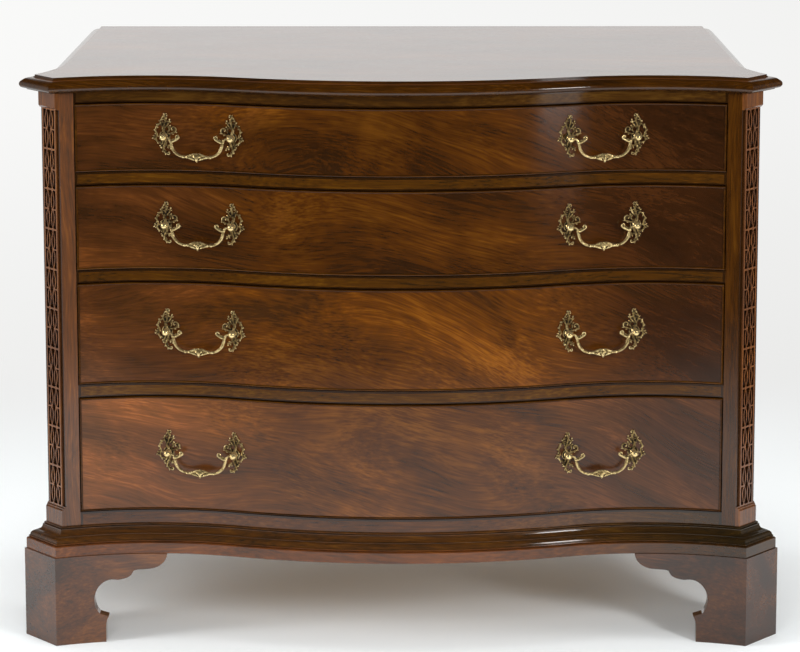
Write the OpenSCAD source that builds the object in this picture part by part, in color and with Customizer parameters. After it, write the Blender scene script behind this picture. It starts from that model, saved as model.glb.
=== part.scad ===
// Serpentine chest of four drawers with canted fretted corners and bracket feet.
// Millimetres, front faces -Y, +Z up, origin under the middle of the whole chest.

/* [Plan] */
// Radius of the bowed middle of the front
bow_r = 765; // [720:5:810]
// Radius of the two hollows of the front
hollow_r = 412; // [390:2:440]
// Distance of each hollow from the middle
hollow_x = 373; // [360:1:385]
// Half width at the front edges of the corner posts
post_x = 514.6; // [510:0.1:525]
// Angle between the front and a canted corner
cant_a = 52; // [48:1:56]
// Depth behind the middle of the front at which the sides begin to flare
flare_y = 191; // [180:1:200]
// Half width where the sides begin to flare
flare_x = 504.6; // [502:0.1:507]
// Radius of the hollow flare of the sides
flare_r = 255; // [250:1:262]
// Half width at the back
back_x = 484.5; // [480:0.5:490]
// Depth of the case from the middle of the front to the back
case_d = 584; // [560:1:610]

/* [Heights] */
// Height of the feet
foot_h = 137; // [120:1:150]
// Height of the base moulding
base_h = 42; // [38:1:46]
// Face of the bottom rail above the base moulding
bottom_face_h = 20; // [16:0.5:26]
// Opening of the bottom drawer
open_4_h = 179.5; // [165:0.5:190]
// Opening of the third drawer
open_3_h = 157.5; // [145:0.5:170]
// Opening of the second drawer
open_2_h = 130.5; // [120:0.5:140]
// Opening of the top drawer
open_1_h = 105.5; // [98:0.5:115]
// Thickness of the rails between the drawers
divider_t = 18.7; // [16:0.1:22]
// Face of the rail above the top drawer
top_rail_t = 17.9; // [15:0.1:22]
// Thickness of the top
top_t = 22; // [20:0.5:24]

/* [Top] */
// How far the flat of the top stands out from the case
top_flat_out = 3; // [0:0.5:5]
// How far the nose of the moulded edge stands out from the flat
top_nose_out = 19; // [16:0.5:22]
// Radius of the nose
nose_r = 6.2; // [5:0.1:7]
// Height of the small step under the flat
top_step_h = 2.5; // [1.5:0.1:3.5]
// Set back of the small step
top_step_w = 1.5; // [1:0.1:2.5]
// Angle between the front and the cant of the top
top_cant_a = 50; // [47:1:53]
// How far the top runs past the back
top_back_out = 12; // [4:1:20]

/* [Base] */
// How far the plain band of the base stands out
base_out = 25; // [23:0.5:28]
// Height of the plain band
band_h = 17.5; // [15:0.5:20]
// How far the feet stand out from the plain band
foot_step = 2.5; // [1:0.5:5]
// Thickness of the foot brackets
foot_t = 20; // [16:1:24]
// Width of a foot on the floor
foot_w = 74; // [66:1:82]
// Length of a foot bracket under the moulding
bracket_l = 168; // [155:1:180]
// Height of the point between the hollow and the round of a bracket
cusp_h = 112; // [106:1:118]
// Distance of that point from the corner
cusp_w = 121; // [112:1:130]
// Height at which the bracket is narrowest
notch_h = 67; // [60:1:74]
// Width of a foot where it is narrowest
notch_w = 57; // [50:1:64]
// Side of the glue blocks inside the feet
glue_block = 36; // [28:1:40]
// Clearance of the glue blocks above the floor
glue_lift = 6; // [3:1:12]

/* [Case] */
// Half width of the drawer openings
open_x = 487.5; // [485:0.5:491]
// Thickness of the sides
side_t = 18; // [16:0.5:20]
// Depth to the back of the corner posts
post_back = 118; // [110:1:125]
// Depth of the rails
rail_d = 60; // [50:1:64]
// Thickness of the lower part of the bottom rail
bottom_rail_t = 24; // [20:1:30]
// Thickness of the bottom board
bottom_t = 12; // [10:0.5:14]
// Thickness of the back boards
back_t = 10; // [8:0.5:14]
// Number of back boards
back_n = 4; // [3:1:6]
// Gap between the back boards
back_gap = 0.6; // [0.4:0.1:1]
// Length of the tenons of the rails
tenon_l = 12; // [8:1:16]
// Thickness of the tenons
tenon_t = 8; // [6:0.5:10]
// Width of the tenons
tenon_w = 34; // [24:1:40]
// Width of the drawer runners
runner_w = 38; // [30:1:50]
// Height of the guide strips on the runners
guide_h = 18; // [12:1:24]
// Thickness of the dust boards
dust_t = 6; // [5:0.5:8]

/* [Post] */
// Thickness of the blocks on the posts
block_t = 6.5; // [5:0.5:8]
// Height of the cap blocks
cap_h = 27.5; // [22:0.5:32]
// Height of the plinth blocks above the moulding
plinth_h = 30; // [24:0.5:36]
// Bevel of the blocks
block_bevel = 3.5; // [2:0.5:4.5]
// Thickness of the frets
fret_t = 3; // [2:0.1:4]
// Repeats in a fret
fret_n = 10; // [8:1:12]
// Width of the bars of a fret
fret_bar = 2.2; // [1.8:0.1:2.4]
// Width of the border of a fret
fret_border = 3; // [2:0.1:3.6]
// Half width of the loops in a fret
loop_w = 3.9; // [3.6:0.1:4.2]

/* [Drawers] */
// Thickness of the drawer fronts
front_t = 24; // [20:0.5:26]
// Gap at each end of a drawer front
end_gap = 1.5; // [1:0.1:3]
// Gap over a drawer front
top_gap = 2; // [1:0.1:3]
// Gap under a drawer front
low_gap = 1; // [0.6:0.1:2]
// Gap under the drawer sides
run_gap = 0.4; // [0.3:0.1:0.6]
// Gap between a drawer side and its guide
guide_gap = 0.6; // [0.4:0.1:1]
// Thickness of the drawer sides
dside_t = 10; // [8:0.5:12]
// Thickness of the drawer backs
dback_t = 9; // [8:0.5:12]
// Thickness of the drawer bottoms
dbottom_t = 6; // [5:0.5:8]
// Height of the drawer bottoms above the lower edge
dbottom_z = 8; // [7.5:0.5:12]
// Depth of the grooves that hold the bottoms
groove_d = 5; // [3:0.5:6]
// How far the sides stand below the top edge of the front
dside_drop = 5; // [3:0.5:12]
// Space behind a closed drawer
drawer_rest = 20; // [12:1:40]
// Depth of the dovetails in the drawer fronts
dovetail_l = 14; // [10:0.5:17]
// Length of a drawer stop
stop_l = 20; // [14:1:30]
// Height of a drawer stop
stop_h = 5.5; // [4:0.5:6]

/* [Cock bead] */
// Thickness of the cock bead
bead_t = 3; // [2.4:0.1:3.6]
// How far the cock bead stands out
bead_out = 1.8; // [1.5:0.1:2.5]
// How far the cock bead is let in
bead_in = 6; // [4:0.5:8]

/* [Handles] */
// Distance of the middle of a handle from the middle of the chest
handle_x = 302; // [295:1:308]
// Half distance between the two posts of a handle
handle_half = 50.5; // [48:0.5:53]
// Distance of the bail from the drawer front
bail_off = 13; // [12:0.5:15]
// Drop of the bail
bail_drop = 28.5; // [26:0.5:31]
// Radius of the arms of the bail
bail_r = 2.3; // [2:0.1:2.6]
// Radius of the grip at its middle
grip_r = 5.2; // [4.5:0.1:5.8]
// Half length of the swelling of the grip
grip_half = 17; // [14:0.5:18]
// Radius of the ball heads
ball_r = 5.2; // [4.8:0.1:5.6]
// Radius of the pins at the ends of the bail
pin_r = 1.6; // [1.4:0.05:1.8]
// Clearance of the pins in the ball heads
pin_clear = 0.08; // [0.05:0.01:0.1]
// Radius of the threaded shank
shank_r = 2.2; // [2:0.1:2.6]
// Radius of the nut
nut_r = 5; // [4.5:0.1:6]
// Thickness of the back plates
plate_t = 2.2; // [1.8:0.1:2.6]
// Height of the back plates
plate_h = 63; // [58:1:66]

/* [Hidden] */

// Colours of the woods and the brass
mahogany = [0.36, 0.17, 0.09];
dark_mahogany = [0.27, 0.13, 0.08];
oak = [0.66, 0.5, 0.32];
pine = [0.72, 0.58, 0.38];
brass = [0.72, 0.56, 0.28];

// Facets of wide curves and of small ones
wide = 240;
small = 48;
// Steps along the bow, a hollow and a flare of the moulded edges
bow_n = 12;
hollow_n = 14;
flare_n = 6;
// Reach of the solids that are cut to the outline
far = 1500;
eps = 0.01;
// Overlap of the lengths that make up one curve
lap = 30;
// Clearance behind a moulding whose curve is made of short lengths
seat = 0.12;

// Curve of the front
sway = asin(hollow_x / (bow_r + hollow_r));
hollow_cy = bow_r - (bow_r + hollow_r) * cos(sway);
function front_y(x, t = 0) = abs(x) < (bow_r + t) * sin(sway)
    ? bow_r - sqrt(pow(bow_r + t, 2) - x * x)
    : hollow_cy + sqrt(pow(hollow_r - t, 2) - pow(abs(x) - hollow_x, 2));
function front_a(x) = atan((hollow_x - x) / (front_y(x) - hollow_cy));

// Line and flare of the sides
side_a = atan((flare_x - back_x) / (case_d - flare_y));
flare_c = [flare_x + flare_r * cos(side_a), flare_y + flare_r * sin(side_a)];

// Canted corner: its line starts at the front edge of the post
cant_p = [post_x, front_y(post_x)];
cant_d = [cos(cant_a), sin(cant_a)];
cant_n = [sin(cant_a), -cos(cant_a)];
function reach(p, d, c, r) = let(b = (p - c) * d) -b - sqrt(b * b - (p - c) * (p - c) + r * r);
function leave(p, d, c, r) = let(b = (p - c) * d) -b + sqrt(b * b - (p - c) * (p - c) + r * r);
function cant_end(t, p0 = cant_p, a = cant_a) = let(d = [cos(a), sin(a)], p = p0 + t * [d[1], -d[0]])
    p + reach(p, d, flare_c, flare_r - t) * d;
function cant_start(t, p0 = cant_p, a = cant_a) = let(d = [cos(a), sin(a)], p = p0 + t * [d[1], -d[0]])
    p + leave(p, d, [hollow_x, hollow_cy], hollow_r - t) * d;

hollow_c = [hollow_x, hollow_cy];

// Heights of the case
case_z = foot_h;
base_top = foot_h + base_h;
open_4_z = base_top + bottom_face_h;
open_3_z = open_4_z + open_4_h + divider_t;
open_2_z = open_3_z + open_3_h + divider_t;
open_1_z = open_2_z + open_2_h + divider_t;
case_top = open_1_z + open_1_h + top_rail_t;
total_h = case_top + top_t;
open_z = [open_1_z, open_2_z, open_3_z, open_4_z];
open_h = [open_1_h, open_2_h, open_3_h, open_4_h];

// Middle of the whole chest in depth
mid_y = (case_d + top_back_out - base_out) / 2;
foot_out = base_out + foot_step;

// Outline pieces in plan, each grown by t
module front_2d(t) {
    xi = (bow_r + t) * sin(sway);
    intersection() {
        translate([0, bow_r]) circle(r = bow_r + t, $fn = wide * 2);
        translate([-xi - lap, -100]) square([2 * (xi + lap), 100 + bow_r]);
    }
    for (s = [0, 1]) mirror([s, 0]) difference() {
        translate([xi, -70]) square([650 - xi, 70 + case_d + 100]);
        translate([hollow_x, hollow_cy]) circle(r = hollow_r - t, $fn = wide);
    }
}
module side_2d(t) {
    difference() {
        polygon([[-far, case_d + 100], [flare_x + t / cos(side_a) - (case_d + 100 - flare_y) * tan(side_a),
            case_d + 100], [flare_x + t * cos(side_a), flare_y + t * sin(side_a)], flare_c,
            [flare_c[0], -100], [-far, -100]]);
        translate(flare_c) circle(r = flare_r - t, $fn = wide);
    }
}
module cant_2d(t) {
    translate(cant_p + t * cant_n) rotate(cant_a) translate([-far / 2, 0]) square(far);
}
module corner_2d(t) {
    intersection() {
        side_2d(t);
        cant_2d(t);
    }
}
module plan_2d(t, back) {
    intersection() {
        front_2d(t);
        corner_2d(t);
        mirror([1, 0]) corner_2d(t);
        translate([-far / 2, -100]) square([far, 100 + back]);
    }
}
module slab(z, h) {
    translate([0, 0, z]) linear_extrude(h) children();
}

// Points along the outline, grown by t, from the back of the right side to the back of the left
function turn(c, r, a0, a1, n) = [for (k = [0:n]) let(a = a0 + (a1 - a0) * k / n) c + r * [cos(a), sin(a)]];
function bearing(v) = (atan2(v[1], v[0]) + 360) % 360;
function halves(h) = concat(h, [for (k = [len(h) - 2:-1:0]) [-h[k][0], h[k][1]]]);
function bow_path(t) = [for (k = [1:bow_n]) let(a = 270 + sway * (1 - k / bow_n))
    [(bow_r + t) * cos(a), bow_r + (bow_r + t) * sin(a)]];
function outline(t, back, p0 = cant_p, a = cant_a) = halves(concat(
    [[flare_x + t / cos(side_a) - (back - flare_y) * tan(side_a), back]],
    turn(flare_c, flare_r - t, 180 + side_a, bearing(cant_end(t, p0, a) - flare_c), flare_n),
    turn(hollow_c, hollow_r - t, bearing(cant_start(t, p0, a) - hollow_c), 90 + sway, hollow_n),
    bow_path(t)));
function front_line(t, half) = halves(concat(
    turn(hollow_c, hollow_r - t, acos((half - hollow_x) / (hollow_r - t)), 90 + sway, hollow_n),
    bow_path(t)));

// A section carried along paths, one path for each of its points, with the ends closed by fans
module swept(section, paths, fans) {
    m = len(section);
    n = len(paths[0]);
    points = [for (j = [0:m - 1]) for (q = paths[j]) [q[0], q[1], section[j][1]]];
    sides = [for (j = [0:m - 1]) for (i = [0:n - 2]) let(k = (j + 1) % m)
        each [[j * n + i, k * n + i + 1, k * n + i], [j * n + i, j * n + i + 1, k * n + i + 1]]];
    first = [for (f = fans) [for (j = f) j * n]];
    last = [for (f = fans) [for (k = [len(f) - 1:-1:0]) f[k] * n + n - 1]];
    polyhedron(points, concat(sides, first, last), convexity = 6);
}
// A board whose edge follows a profile of rings, each a size of the outline at a height.
// Its flats are cut into wedges that meet in the middle
module moulded_board(profile, back, p0, a) {
    m = len(profile);
    rings = [for (r = profile) outline(r[0], back, p0, a)];
    n = len(rings[0]);
    middle = [for (z = [profile[0][1], profile[m - 1][1]]) [0, flare_y, z]];
    points = concat([for (j = [0:m - 1]) for (q = rings[j]) [q[0], q[1], profile[j][1]]], middle);
    sides = [for (j = [0:m - 2]) for (i = [0:n - 1]) let(k = (i + 1) % n)
        each [[j * n + i, j * n + n + k, j * n + n + i], [j * n + i, j * n + k, j * n + n + k]]];
    top = (m - 1) * n;
    flats = [for (i = [0:n - 1]) let(k = (i + 1) % n)
        each [[m * n, k, i], [m * n + 1, top + i, top + k]]];
    polyhedron(points, concat(sides, flats), convexity = 6);
}
module cant_run(p, a) {
    translate([p[0], p[1], 0]) rotate([0, 0, a]) rotate([90, 0, 90])
        linear_extrude(far, center = true) mirror([1, 0]) children();
}
module placed() {
    translate([0, -mid_y, 0]) children();
}
module both() {
    children();
    mirror([1, 0, 0]) children();
}

// Top: a board with a moulded edge of fillet, step, thumb and nose
function arc(c, rx, ry, a0, a1, n) = [for (k = [0:n])
    let(a = a0 + (a1 - a0) * k / n) [c[0] + rx * cos(a), c[1] + ry * sin(a)]];
nose_t = top_flat_out + top_nose_out - nose_r;
nose_z = nose_r + 1.8;
step_t = top_flat_out + top_step_w;
step_z = top_t - top_step_h;
thumb = [nose_t + 1.5 - step_t, step_z - 1.2 - nose_z - nose_r * 0.9];
top_profile = concat(
    [[nose_t - 3, 0], [nose_t - 3, 1.3], [nose_t - 1.5, 1.5]],
    arc([nose_t, nose_z], nose_r, nose_r, 256, 420, 9),
    arc([step_t, nose_z + nose_r * 0.9], thumb[0], thumb[1], 22, 90, 4),
    [[step_t, step_z], [top_flat_out, step_z + 0.2], [top_flat_out, top_t]]);
module top_board() color(mahogany) placed() translate([0, 0, case_top])
    moulded_board(top_profile, case_d + top_back_out, cant_p, top_cant_a);

// Base moulding: from the floor side up, a plain band, a bead, a quarter round, a hollow and a bead
bead_r = 1.8;
cove = 9;
round_r = 7;
round_p = base_out - 4.5 - round_r;
cove_z = band_h + 2 * bead_r + round_r;
fillet_p = round_p - cove;
base_profile = concat(
    [[seat, 0], [base_out, 0], [base_out, band_h - 1.5], [base_out - 1.5, band_h]],
    arc([base_out - 4.5, band_h + bead_r], bead_r, bead_r, 285, 440, 4),
    arc([round_p, band_h + 2 * bead_r], round_r, round_r, 0, 90, 5),
    arc([round_p, cove_z + cove + 0.6], cove, cove, 270, 182, 6),
    [[fillet_p, base_h - 2 * bead_r]],
    arc([1.2, base_h - bead_r], bead_r, bead_r, 290, 440, 4),
    [[seat, base_h]]);
bead_foot = len(base_profile) - 6;
module base_moulding() color(dark_mahogany) placed() translate([0, 0, case_z]) {
    last = len(base_profile) - 1;
    swept(base_profile, [for (q = base_profile) outline(q[0], case_d)],
        [concat([for (k = [0:bead_foot]) k], [last]), concat([last], [for (k = [bead_foot:last - 1]) k])]);
}

// Bracket feet. The edge is drawn with x as the distance from the corner: from the floor up
// the foot, round a hollow notch, over a swelling to a point, and up a hollow to the moulding
notch = [notch_w + 27, notch_h];
bracket_edge = concat(
    [[foot_w, -1]],
    arc([foot_w + 30, notch_h - 42], 30, 30, 180, 150, 4),
    arc(notch, notch[0] - notch_w, 31, 225, 90, 14),
    arc([notch[0] + 6, cusp_h - 2], 26, 13, 275, 330, 5),
    [[cusp_w - 4, cusp_h - 1], [cusp_w, cusp_h]],
    arc([cusp_w + 16, foot_h + 1], bracket_l - cusp_w - 16, foot_h - cusp_h, 270, 358, 9));
module scroll_void() {
    polygon(concat(bracket_edge, [[bracket_l, foot_h + 1], [bracket_l + 20, foot_h + 1], [bracket_l + 20, -1]]));
}
module foot_ring() {
    difference() {
        plan_2d(foot_out, case_d);
        plan_2d(foot_out - foot_t, case_d + 1);
    }
}
module foot_front() color(mahogany) placed() {
    corner_x = cant_start(foot_out)[0];
    corner_y = cant_end(foot_out)[1];
    difference() {
        slab(0, foot_h) intersection() {
            foot_ring();
            translate([corner_x - bracket_l, -100]) square([bracket_l + 100, 100 + corner_y + bracket_l]);
        }
        translate([corner_x, 300, 0]) rotate([90, 0, 0]) linear_extrude(400) mirror([1, 0]) scroll_void();
        translate([0, corner_y, 0]) rotate([90, 0, 90]) linear_extrude(700) scroll_void();
    }
}
module foot_rear() {
    back_foot_l = 112;
    inner = foot_out - foot_t;
    difference() {
        slab(0, foot_h) intersection() {
            foot_ring();
            translate([100, case_d - bracket_l]) square([600, bracket_l + 1]);
        }
        translate([0, case_d, 0]) rotate([90, 0, 90]) linear_extrude(700) mirror([1, 0]) scroll_void();
    }
    difference() {
        slab(0, foot_h) intersection() {
            side_2d(inner + eps);
            translate([back_x - back_foot_l, case_d - foot_t]) square([200, foot_t]);
        }
        translate([back_x - back_foot_l, case_d + 1, -eps]) rotate([90, 0, 0])
            linear_extrude(foot_t + 2) polygon([[-1, -1], [back_foot_l - 40, -1], [-1, foot_h - 30]]);
    }
}
module feet_rear() color(mahogany) placed() both() foot_rear();
module foot_blocks() color(pine) placed() both() {
    h = foot_h - glue_lift;
    inner = foot_out - foot_t;
    p = (cant_start(inner) + cant_end(inner)) / 2;
    translate([p[0], p[1], glue_lift]) rotate([0, 0, cant_a]) translate([-glue_block / 2, 0, 0])
        cube([glue_block, glue_block, h]);
    translate([flare_x, flare_y, glue_lift]) rotate([0, 0, side_a]) intersection() {
        translate([inner - glue_block, 0, 0]) cube([glue_block, 600, h]);
        rotate([0, 0, -side_a]) translate([-200, case_d - foot_t - glue_block - flare_y, 0])
            cube([400, glue_block, h]);
    }
}

// Corner posts, with the mortises of the rails
post_l = cant_end(0)[0] - open_x;
module post_2d() {
    intersection() {
        front_2d(0);
        cant_2d(-block_t);
        side_2d(0);
        translate([open_x, -100]) square([post_l + 10, 100 + post_back]);
    }
}
tenon_y = front_y(open_x) + 14;
module tenon(z, h) {
    translate([open_x - eps, tenon_y, z + (h - tenon_t) / 2]) cube([tenon_l + eps, tenon_w, tenon_t]);
}
rails = [[case_top - top_rail_t, top_rail_t], [open_1_z - divider_t, divider_t],
    [open_2_z - divider_t, divider_t], [open_3_z - divider_t, divider_t],
    [open_4_z - bottom_face_h, bottom_face_h]];
module post() color(mahogany) placed() difference() {
    slab(case_z, case_top - case_z) post_2d();
    for (r = rails) tenon(r[0], r[1]);
}
module block(section_z) {
    intersection() {
        cant_run(cant_p, cant_a) children();
        slab(case_z - 1, case_top) intersection() {
            front_2d(0);
            side_2d(0);
            translate([open_x - 30, -100]) square([post_l + 60, 100 + post_back]);
        }
    }
}
plinth_top = base_top + plinth_h;
cap_z = case_top - cap_h;
module post_blocks() color(mahogany) placed() both() {
    block() polygon([[-block_t, cap_z], [-block_bevel, cap_z], [0, cap_z + block_bevel], [0, case_top],
        [-block_t, case_top]]);
    block() polygon([[-block_t, case_z], [0, case_z], [0, plinth_top - 6], [-2.2, plinth_top - 4],
        [-2.2, plinth_top - 2.8], [-block_bevel - 1, plinth_top - 1.5], [-block_bevel - 1, plinth_top],
        [-block_t, plinth_top]]);
}

// Blind fret: bars, loops and waved knots, cut from a thin board
fret_z = plinth_top;
fret_h = cap_z - plinth_top;
fret_pitch = fret_h / fret_n;
fret_p = (cant_start(-block_t) + cant_end(-block_t)) / 2;
fret_w = norm(cant_end(-block_t) - cant_start(-block_t));
fret_col = fret_w * 0.18;
function loop_x(s, w) = w * pow(sin(180 * pow(s, 1.35)), 0.85);
function loop_side(z0, z1, w, n) = [for (i = [0:n]) let(s = i / n) [loop_x(s, w), z0 + (z1 - z0) * s]];
module loop_void(z0, z1, w) {
    n = 10;
    side = loop_side(z0, z1, w, n);
    polygon(concat(side, [for (i = [n - 1:-1:1]) [-side[i][0], side[i][1]]]));
}
module loop_pair(grow) {
    half = fret_pitch / 2;
    gap = fret_bar / 2 - grow;
    loop_void(fret_pitch - gap, half + gap, loop_w - fret_bar / 2 + grow);
    loop_void(gap, half - gap, loop_w - fret_bar / 2 + grow);
}
module fret_repeat() {
    half = fret_pitch / 2;
    col = fret_col;
    edge = fret_w / 2 - fret_border;
    for (s = [-1, 1]) translate([s * col, 0]) loop_pair(0);
    difference() {
        translate([-edge, 0]) square([2 * edge, fret_pitch]);
        for (s = [-1, 1]) translate([s * col, 0]) {
            loop_pair(fret_bar);
            translate([-fret_bar / 2, -1]) square([fret_bar, fret_pitch + 2]);
            translate([s > 0 ? 0 : -30, half - fret_bar / 2]) square([30, fret_bar]);
            translate([0, half]) circle(r = 2.6, $fn = 16);
        }
        for (z = [0, fret_pitch]) translate([0, z]) {
            translate([-edge - 1, -fret_bar * 0.6]) square([2 * edge + 2, fret_bar * 1.2]);
            for (s = [-1, 1]) translate([s * col, 0]) circle(r = 2.8, $fn = 16);
        }
    }
}
module fret_2d() {
    difference() {
        translate([-fret_w / 2, 0]) square([fret_w, fret_h]);
        for (i = [0:fret_n - 1]) translate([0, i * fret_pitch]) fret_repeat();
    }
}
module fret() color(dark_mahogany) placed() {
    translate([fret_p[0], fret_p[1], fret_z]) rotate([0, 0, cant_a]) rotate([90, 0, 0])
        linear_extrude(fret_t) fret_2d();
}

// Sides, back and bottom
module side() color(mahogany) placed() slab(case_z, case_top - case_z) difference() {
    intersection() {
        side_2d(0);
        translate([0, post_back]) square([far / 2, case_d - post_back]);
    }
    side_2d(-side_t);
}
module back_boards() color(pine) placed() {
    h = (case_top - case_z - (back_n - 1) * back_gap) / back_n;
    for (i = [0:back_n - 1]) slab(case_z + i * (h + back_gap), h) intersection() {
        side_2d(-side_t);
        mirror([1, 0]) side_2d(-side_t);
        translate([-far / 2, case_d - back_t]) square([far, back_t]);
    }
}
module inner_2d() {
    difference() {
        intersection() {
            front_2d(-rail_d);
            side_2d(-side_t);
            mirror([1, 0]) side_2d(-side_t);
            translate([-far / 2, -100]) square([far, 100 + case_d - back_t]);
        }
        for (s = [0, 1]) mirror([s, 0]) translate([open_x, -far / 2]) square([far, far / 2 + post_back]);
    }
}
module bottom_board() color(pine) placed() slab(base_top + 2, bottom_t) inner_2d();

// Rails with serpentine fronts, tenoned into the posts
module strip_2d(t0, t1, half) {
    intersection() {
        difference() {
            front_2d(t0);
            front_2d(t1);
        }
        translate([-half, -far / 2]) square([2 * half, far / 2 + post_back]);
    }
}
module rail(i) color(dark_mahogany) placed() {
    slab(rails[i][0], rails[i][1]) strip_2d(0, -rail_d, open_x);
    both() tenon(rails[i][0], rails[i][1]);
}
module bottom_rail() {
    rail(4);
    color(dark_mahogany) placed() slab(case_z, base_top - case_z) strip_2d(0, -bottom_rail_t, open_x);
}

// Runners with guide strips, dust boards and stops
drawer_half = open_x - end_gap;
dside_x = (drawer_half - 0.3 - flare_x) * cos(side_a) + (front_y(drawer_half) - flare_y) * sin(side_a);
guide_t = -dside_x - side_t - guide_gap;
module side_bar_2d(x0, x1) {
    intersection() {
        inner_2d();
        translate([flare_x, flare_y]) rotate(side_a) translate([x0, -far / 2]) square([x1 - x0, far]);
    }
}
module runner_2d() side_bar_2d(-side_t - runner_w, 60);
module guide_2d() side_bar_2d(-side_t - guide_t, 60);
module drawer_runners() color(oak) placed() both() {
    for (i = [0:2]) {
        slab(open_z[i] - divider_t, divider_t) runner_2d();
        slab(open_z[i] - eps, guide_h) guide_2d();
    }
    z = base_top + 2 + bottom_t;
    slab(z, open_4_z - z) runner_2d();
    slab(open_4_z - eps, guide_h) guide_2d();
}
module dust_boards() color(pine) placed() for (i = [0:2])
    slab(open_z[i] - divider_t + (divider_t - dust_t) / 2, dust_t) difference() {
        inner_2d();
        for (s = [0, 1]) mirror([s, 0]) runner_2d();
    }
stop_x = 200;
stop_w = 30;
module drawer_stops() color(oak) placed() both() for (z = open_z)
    translate([stop_x, front_y(stop_x + stop_w, -front_t) + 0.3, z]) cube([stop_w, stop_l, stop_h]);

// Drawers, numbered from the top
function front_z(i) = open_z[i - 1] + low_gap;
function front_h(i) = open_h[i - 1] - low_gap - top_gap;
function box_z(i) = open_z[i - 1] + run_gap;
function box_h(i) = front_z(i) + front_h(i) - dside_drop - box_z(i);
box_back = case_d - back_t - drawer_rest;
module drawer_side_2d() {
    intersection() {
        front_2d(-front_t + dovetail_l);
        translate([flare_x, flare_y]) rotate(side_a) translate([dside_x - dside_t, -180])
            square([dside_t, 700]);
        translate([0, -100]) square([far / 2, 100 + box_back]);
    }
}
module inside_2d(grow, back) {
    intersection() {
        front_2d(-front_t + grow);
        translate([flare_x, flare_y]) rotate(side_a)
            translate([dside_x - dside_t + grow - far, -400]) square([far, 1200]);
        mirror([1, 0]) translate([flare_x, flare_y]) rotate(side_a)
            translate([dside_x - dside_t + grow - far, -400]) square([far, 1200]);
        translate([-far / 2, -100]) square([far, 100 + back]);
    }
}
// Lapped dovetails: the tails of the sides, one more for each taller drawer
function tails(i) = i + 2;
module tail_cut(i, y0, y1, flare) {
    n = tails(i);
    pitch = box_h(i) / n;
    for (k = [0:n]) translate([0, 0, box_z(i) + k * pitch])
        rotate([90, 0, 90]) translate([0, 0, drawer_half - 60]) linear_extrude(120)
        polygon([[y0, -pitch * 0.16], [y1, -pitch * 0.16 - flare], [y1, pitch * 0.16 + flare],
            [y0, pitch * 0.16]]);
}
joint_y = front_y(drawer_half - dside_t, -front_t);
module side_tails(i) {
    difference() {
        slab(box_z(i), box_h(i)) drawer_side_2d();
        difference() {
            tail_cut(i, joint_y, joint_y - dovetail_l - 10, -1.6);
            slab(0, total_h) front_2d(-front_t);
        }
    }
}
module drawer_sides(i) color(oak) placed() both() difference() {
    side_tails(i);
    slab(front_z(i) + dbottom_z, dbottom_t) inside_2d(groove_d, far);
}
module drawer_back(i) color(oak) placed() {
    z = front_z(i) + dbottom_z + dbottom_t;
    slab(z, box_z(i) + box_h(i) - 2 - z) intersection() {
        inside_2d(-eps, box_back);
        translate([-far / 2, box_back - dback_t]) square([far, dback_t]);
    }
}
module drawer_bottom(i) color(pine) placed() slab(front_z(i) + dbottom_z, dbottom_t) inside_2d(groove_d, box_back);

module drawer_front(i) color(mahogany) placed() {
    z = front_z(i);
    h = front_h(i);
    difference() {
        union() {
            slab(z, h) strip_2d(-bead_in, -front_t, drawer_half);
            slab(z + bead_t, h - 2 * bead_t) strip_2d(0, -bead_in - eps, drawer_half - bead_t);
        }
        slab(z + dbottom_z, dbottom_t) inside_2d(groove_d, far);
        both() side_tails(i);
        handle_places(i) handle_pair() rotate([90, 0, 0])
            cylinder(r = shank_r + 0.1, h = 200, center = true, $fn = small);
    }
}

// Cock bead: a thin strip with a round nose along every edge of a front
bead_nose = bead_out - bead_t / 2;
bead_profile = concat([[seat - bead_in, 0]], arc([bead_nose, bead_t / 2], bead_t / 2, bead_t / 2, 270, 450, 4),
    [[seat - bead_in, bead_t]]);
module cock_bead(i) color(dark_mahogany) placed() {
    z = front_z(i);
    h = front_h(i);
    x = drawer_half - bead_t / 2;
    for (dz = [z, z + h - bead_t]) translate([0, 0, dz]) swept(bead_profile,
        [for (q = bead_profile) front_line(q[0], drawer_half)], [[for (k = [0:len(bead_profile) - 1]) k]]);
    both() slab(z + bead_t + eps, h - 2 * (bead_t + eps)) {
        intersection() {
            strip_2d(bead_nose, -bead_in, drawer_half);
            translate([drawer_half - bead_t, -100]) square([bead_t, 300]);
        }
        translate([x, front_y(x, bead_nose)]) circle(r = bead_t / 2, $fn = small);
    }
}

// Handles: two plates, two posts with ball heads, and a swan neck bail
handle_in = handle_x - handle_half;
handle_out = handle_x + handle_half;
handle_a = atan((front_y(handle_out) - front_y(handle_in)) / (2 * handle_half));
handle_y = (front_y(handle_in) + front_y(handle_out)) / 2;
handle_lift = [1.5, 4, 3, 2];
post_half = handle_half / cos(handle_a);
function handle_z(i) = front_z(i) + front_h(i) / 2 + handle_lift[i - 1];
module right_handle(i) {
    translate([handle_x, handle_y, handle_z(i)]) rotate([0, 0, handle_a]) children();
}
module handle_places(i) both() right_handle(i) children();
module handle_pair() {
    for (s = [-1, 1]) translate([s * post_half, 0, 0]) children();
}

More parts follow.
